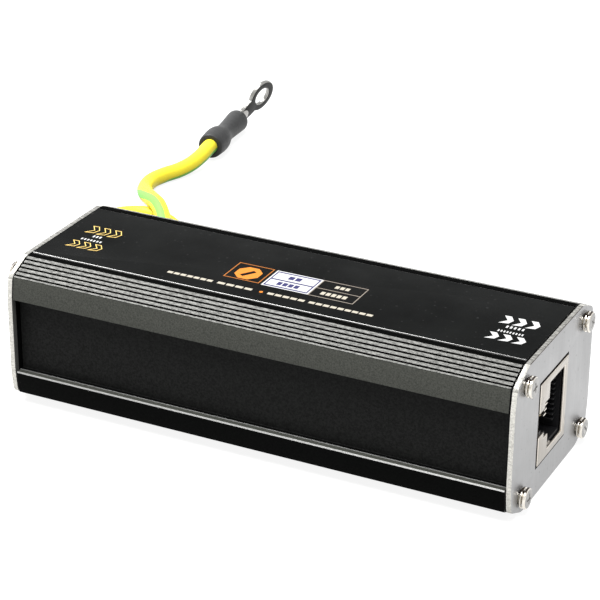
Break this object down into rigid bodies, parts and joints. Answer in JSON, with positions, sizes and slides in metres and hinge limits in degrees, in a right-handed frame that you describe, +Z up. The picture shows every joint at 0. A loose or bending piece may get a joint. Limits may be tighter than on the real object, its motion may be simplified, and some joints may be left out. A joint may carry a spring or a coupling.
{
  "type": "ethernet surge protector",
  "caption": "Inline network surge protector: ribbed black extrusion, screwed silver end plates, a shielded network socket in each end and an earth lead with a ring terminal.",
  "frame": {"origin": "middle of the body's underside, on the surface it lies on, with the free earth lead left out", "axes": "+X along the body towards the protected equipment's socket, +Y to the back where the lead lies, +Z up"},
  "size_m": [0.135, 0.1593, 0.0286],
  "materials": {
    "black_anodised": "black anodised over a fine blasted grain, ribs worn a little brighter",
    "black_print": "satin black film with gold, white and orange marks",
    "satin_plate": "satin silver sheet with pale cut edges",
    "bright_nickel": "bright nickel plate",
    "shield_nickel": "nickel-plated shield sheet",
    "socket_black": "moulded black insert",
    "contact_gold": "gold-flashed spring wire",
    "board_green": "green solder mask",
    "tube_ceramic": "white ceramic with metal end caps",
    "black_moulding": "moulded black epoxy",
    "tinned_copper": "tinned copper",
    "black_rubber": "black rubber",
    "earth_insulation": "yellow insulation with a green stripe",
    "black_sleeve": "black heat-shrunk sleeve"
  },
  "bodies": {
    "root": {"housing": "black_anodised", "name_plate": "black_print", "end_plate_in": "satin_plate", "end_plate_out": "satin_plate", "end_screw_in_1": "bright_nickel", "end_screw_in_2": "bright_nickel", "end_screw_in_3": "bright_nickel", "end_screw_in_4": "bright_nickel", "end_screw_out_1": "bright_nickel", "end_screw_out_2": "bright_nickel", "end_screw_out_3": "bright_nickel", "end_screw_out_4": "bright_nickel", "lock_washer_in_1": "bright_nickel", "lock_washer_in_2": "bright_nickel", "lock_washer_in_3": "bright_nickel", "lock_washer_in_4": "bright_nickel", "lock_washer_out_1": "bright_nickel", "lock_washer_out_2": "bright_nickel", "lock_washer_out_3": "bright_nickel", "lock_washer_out_4": "bright_nickel", "socket_shield_in": "shield_nickel", "socket_shield_out": "shield_nickel", "socket_insert_in": "socket_black", "socket_insert_out": "socket_black", "contact_in_1": "contact_gold", "contact_in_2": "contact_gold", "contact_in_3": "contact_gold", "contact_in_4": "contact_gold", "contact_in_5": "contact_gold", "contact_in_6": "contact_gold", "contact_in_7": "contact_gold", "contact_in_8": "contact_gold", "contact_out_1": "contact_gold", "contact_out_2": "contact_gold", "contact_out_3": "contact_gold", "contact_out_4": "contact_gold", "contact_out_5": "contact_gold", "contact_out_6": "contact_gold", "contact_out_7": "contact_gold", "contact_out_8": "contact_gold", "circuit_board": "board_green", "gas_tube_1": "tube_ceramic", "gas_tube_2": "tube_ceramic", "gas_tube_3": "tube_ceramic", "gas_tube_4": "tube_ceramic", "signal_core": "black_moulding", "diode_array_1": "black_moulding", "diode_array_2": "black_moulding", "earth_lug": "tinned_copper", "ring_terminal": "tinned_copper", "grommet": "black_rubber", "earth_lead": "earth_insulation", "earth_tail": "earth_insulation", "shrink_sleeve": "black_sleeve"}
  },
  "joints": []
}
